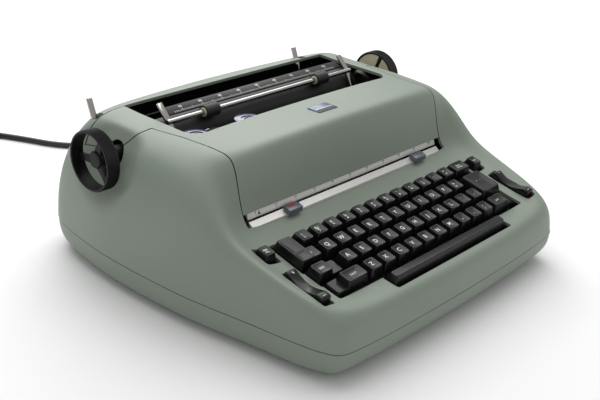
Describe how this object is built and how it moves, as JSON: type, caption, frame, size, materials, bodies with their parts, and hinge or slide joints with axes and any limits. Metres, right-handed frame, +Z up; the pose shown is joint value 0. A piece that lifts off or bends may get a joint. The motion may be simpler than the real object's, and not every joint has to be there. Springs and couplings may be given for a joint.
{
  "type": "electric typewriter",
  "caption": "Single-element electric typewriter with a moulded case, hinged top cover, platen with knobs, paper bail, sloped keyboard, margin stops and a coiled mains lead.",
  "frame": {"origin": "on the desk, under the middle of the case", "axes": "+X to the operator's right, +Y to the rear, +Z up"},
  "size_m": [0.4121, 0.6978, 0.1592],
  "materials": {
    "case_paint": "satin sage-green baked enamel with a fine texture",
    "key_black": "semi-gloss black moulded plastic with white legends",
    "rubber_black": "matt black rubber",
    "chrome": "polished chrome",
    "steel": "brushed steel",
    "frame_steel": "zinc-plated steel",
    "plastic_black": "satin black moulded plastic",
    "trim_silver": "satin silver with a warm tint",
    "cartridge_blue": "translucent blue-purple plastic",
    "plate_blue": "enamelled two-tone plate",
    "motor_dark": "dark grey enamel",
    "cord_black": "matt black PVC"
  },
  "bodies": {
    "base": {"lower_case": "case_paint", "upper_case": "case_paint", "rubber_feet": "rubber_black", "case_screws": "steel", "main_frame": "frame_steel", "key_fulcrum_rod": "steel", "margin_rail": "trim_silver", "cover_hinge_pins": "frame_steel", "paper_table": "plastic_black", "carrier_rails": "steel", "motor": "motor_dark", "drive_belt": "rubber_black", "strain_relief": "rubber_black", "power_cord": "cord_black", "cord_coil": "cord_black", "power_plug": "plastic_black"},
    "cover": {"top_cover": "case_paint", "cover_hinges": "frame_steel", "cover_scale": "trim_silver", "nameplate": "plate_blue"},
    "platen": {"platen_rubber": "rubber_black", "platen_shaft": "steel", "platen_knob_left": "plastic_black", "platen_knob_right": "plastic_black", "platen_ratchet": "steel"},
    "front_feed": {"feed_roll_front": "rubber_black"},
    "rear_feed": {"feed_roll_rear": "rubber_black"},
    "bail": {"bail_arms": "chrome", "bail_rod": "chrome", "paper_scale": "plastic_black"},
    "left_roller": {"bail_roller_left": "rubber_black"},
    "right_roller": {"bail_roller_right": "rubber_black"},
    "copy_lever": {"copy_control_lever": "chrome"},
    "release_lever": {"paper_release_lever": "chrome"},
    "carrier": {"carrier_frame": "frame_steel", "ribbon_cartridge": "cartridge_blue", "ribbon_spools": "plastic_black"},
    "print_rocker": {"rocker": "frame_steel"},
    "element": {"type_element": "steel", "element_lever": "plastic_black"},
    "shaft": {"print_shaft": "steel", "cycle_pulley": "steel"},
    "rotor": {"motor_pulley": "steel"},
    "left_stop": {"margin_stop_left": "trim_silver"},
    "right_stop": {"margin_stop_right": "trim_silver"},
    "key_row_numbers_body": {"key_row_numbers": "key_black"},
    "key_row_upper_body": {"key_row_upper": "key_black"},
    "key_row_home_body": {"key_row_home": "key_black"},
    "key_row_lower_body": {"key_row_lower": "key_black"},
    "margin_release_key_body": {"margin_release_key": "key_black"},
    "tab_key_body": {"tab_key": "key_black"},
    "lock_key_body": {"lock_key": "key_black"},
    "shift_key_left_body": {"shift_key_left": "key_black"},
    "shift_key_right_body": {"shift_key_right": "key_black"},
    "return_key_body": {"return_key": "key_black"},
    "backspace_key_body": {"backspace_key": "key_black"},
    "index_key_body": {"index_key": "key_black"},
    "space_bar_body": {"space_bar": "key_black"},
    "tab_rocker_body": {"tab_rocker": "key_black"},
    "power_rocker_body": {"power_rocker": "key_black"}
  },
  "joints": [
    {"name": "cover_open", "type": "hinge", "parent": "base", "child": "cover", "pos_m": [0, -0.03, 0.095], "axis": [1, 0, 0], "range_deg": [0, 30]},
    {"name": "platen_turn", "type": "hinge", "parent": "base", "child": "platen", "pos_m": [0, 0.086, 0.1215], "axis": [1, 0, 0], "continuous": true},
    {"name": "front_feed_turn", "type": "hinge", "parent": "base", "child": "front_feed", "pos_m": [0, 0.07285, 0.09872], "axis": [1, 0, 0], "continuous": true},
    {"name": "rear_feed_turn", "type": "hinge", "parent": "base", "child": "rear_feed", "pos_m": [0, 0.09915, 0.09872], "axis": [1, 0, 0], "continuous": true},
    {"name": "bail_swing", "type": "hinge", "parent": "base", "child": "bail", "pos_m": [0, 0.055, 0.115], "axis": [1, 0, 0], "range_deg": [0, 20]},
    {"name": "left_roller_turn", "type": "hinge", "parent": "bail", "child": "left_roller", "pos_m": [-0.076, 0.07, 0.145], "axis": [1, 0, 0], "continuous": true},
    {"name": "right_roller_turn", "type": "hinge", "parent": "bail", "child": "right_roller", "pos_m": [0.08, 0.07, 0.145], "axis": [1, 0, 0], "continuous": true},
    {"name": "copy_lever_swing", "type": "hinge", "parent": "base", "child": "copy_lever", "pos_m": [-0.164, 0.124, 0.11], "axis": [1, 0, 0], "range_deg": [0, 8]},
    {"name": "release_lever_swing", "type": "hinge", "parent": "base", "child": "release_lever", "pos_m": [0.112, 0.124, 0.11], "axis": [1, 0, 0], "range_deg": [0, 8]},
    {"name": "carrier_slide", "type": "slide", "parent": "base", "child": "carrier", "axis": [1, 0, 0], "range_m": [-0.006, 0.176]},
    {"name": "rocker_tilt", "type": "hinge", "parent": "carrier", "child": "print_rocker", "pos_m": [-0.088, 0.06, 0.075], "axis": [1, 0, 0], "range_deg": [-1.7, 0], "stiffness_Nm_per_rad": 0.4, "springref_deg": 8.59},
    {"name": "element_turn", "type": "hinge", "parent": "print_rocker", "child": "element", "pos_m": [-0.088, 0.0475, 0.1215], "axis": [0, 0, 1], "range_deg": [-180, 180]},
    {"name": "shaft_turn", "type": "hinge", "parent": "base", "child": "shaft", "pos_m": [0, 0.06, 0.075], "axis": [1, 0, 0], "continuous": true},
    {"name": "rotor_turn", "type": "hinge", "parent": "base", "child": "rotor", "pos_m": [0.13, 0.124, 0.044], "axis": [1, 0, 0], "continuous": true},
    {"name": "left_margin_slide", "type": "slide", "parent": "base", "child": "left_stop", "axis": [1, 0, 0], "range_m": [-0.03, 0.16]},
    {"name": "right_margin_slide", "type": "slide", "parent": "base", "child": "right_stop", "axis": [1, 0, 0], "range_m": [-0.16, 0.0255]},
    {"name": "row_numbers_press", "type": "hinge", "parent": "base", "child": "key_row_numbers_body", "pos_m": [0, 0.025, 0.04], "axis": [1, 0, 0], "range_deg": [0, 1.7], "stiffness_Nm_per_rad": 2, "springref_deg": -14.32},
    {"name": "row_upper_press", "type": "hinge", "parent": "base", "child": "key_row_upper_body", "pos_m": [0, 0.025, 0.04], "axis": [1, 0, 0], "range_deg": [0, 1.7], "stiffness_Nm_per_rad": 2, "springref_deg": -14.32},
    {"name": "row_home_press", "type": "hinge", "parent": "base", "child": "key_row_home_body", "pos_m": [0, 0.025, 0.04], "axis": [1, 0, 0], "range_deg": [0, 1.7], "stiffness_Nm_per_rad": 2, "springref_deg": -14.32},
    {"name": "row_lower_press", "type": "hinge", "parent": "base", "child": "key_row_lower_body", "pos_m": [0, 0.025, 0.04], "axis": [1, 0, 0], "range_deg": [0, 1.7], "stiffness_Nm_per_rad": 2, "springref_deg": -14.32},
    {"name": "margin_release_press", "type": "hinge", "parent": "base", "child": "margin_release_key_body", "pos_m": [0, 0.025, 0.04], "axis": [1, 0, 0], "range_deg": [0, 1.7], "stiffness_Nm_per_rad": 0.5, "springref_deg": -14.32},
    {"name": "tab_press", "type": "hinge", "parent": "base", "child": "tab_key_body", "pos_m": [0, 0.025, 0.04], "axis": [1, 0, 0], "range_deg": [0, 1.7], "stiffness_Nm_per_rad": 0.5, "springref_deg": -14.32},
    {"name": "lock_press", "type": "hinge", "parent": "base", "child": "lock_key_body", "pos_m": [0, 0.025, 0.04], "axis": [1, 0, 0], "range_deg": [0, 1.7], "stiffness_Nm_per_rad": 0.5, "springref_deg": -14.32},
    {"name": "shift_left_press", "type": "hinge", "parent": "base", "child": "shift_key_left_body", "pos_m": [0, 0.025, 0.04], "axis": [1, 0, 0], "range_deg": [0, 1.7], "stiffness_Nm_per_rad": 0.5, "springref_deg": -14.32},
    {"name": "shift_right_press", "type": "hinge", "parent": "base", "child": "shift_key_right_body", "pos_m": [0, 0.025, 0.04], "axis": [1, 0, 0], "range_deg": [0, 1.7], "stiffness_Nm_per_rad": 0.5, "springref_deg": -14.32},
    {"name": "return_press", "type": "hinge", "parent": "base", "child": "return_key_body", "pos_m": [0, 0.025, 0.04], "axis": [1, 0, 0], "range_deg": [0, 1.7], "stiffness_Nm_per_rad": 0.5, "springref_deg": -14.32},
    {"name": "backspace_press", "type": "hinge", "parent": "base", "child": "backspace_key_body", "pos_m": [0, 0.025, 0.04], "axis": [1, 0, 0], "range_deg": [0, 1.7], "stiffness_Nm_per_rad": 0.5, "springref_deg": -14.32},
    {"name": "index_press", "type": "hinge", "parent": "base", "child": "index_key_body", "pos_m": [0, 0.025, 0.04], "axis": [1, 0, 0], "range_deg": [0, 1.7], "stiffness_Nm_per_rad": 0.5, "springref_deg": -14.32},
    {"name": "space_bar_press", "type": "hinge", "parent": "base", "child": "space_bar_body", "pos_m": [0, 0.025, 0.04], "axis": [1, 0, 0], "range_deg": [0, 1.7], "stiffness_Nm_per_rad": 2, "springref_deg": -14.32},
    {"name": "tab_rocker_tilt", "type": "hinge", "parent": "base", "child": "tab_rocker_body", "pos_m": [-0.156, -0.133, 0.0578], "axis": [1, 0, 0], "range_deg": [-3, 3], "stiffness_Nm_per_rad": 0.3},
    {"name": "power_rocker_tilt", "type": "hinge", "parent": "base", "child": "power_rocker_body", "pos_m": [0.154, -0.133, 0.0578], "axis": [1, 0, 0], "range_deg": [0, 5]}
  ],
  "couplings": [
    {"joint": "front_feed_turn", "follows": "platen_turn", "ratio": -3.3333},
    {"joint": "rear_feed_turn", "follows": "platen_turn", "ratio": -3.3333},
    {"joint": "rotor_turn", "follows": "shaft_turn", "ratio": 2},
    {"joint": "shift_right_press", "follows": "shift_left_press", "ratio": 1}
  ]
}
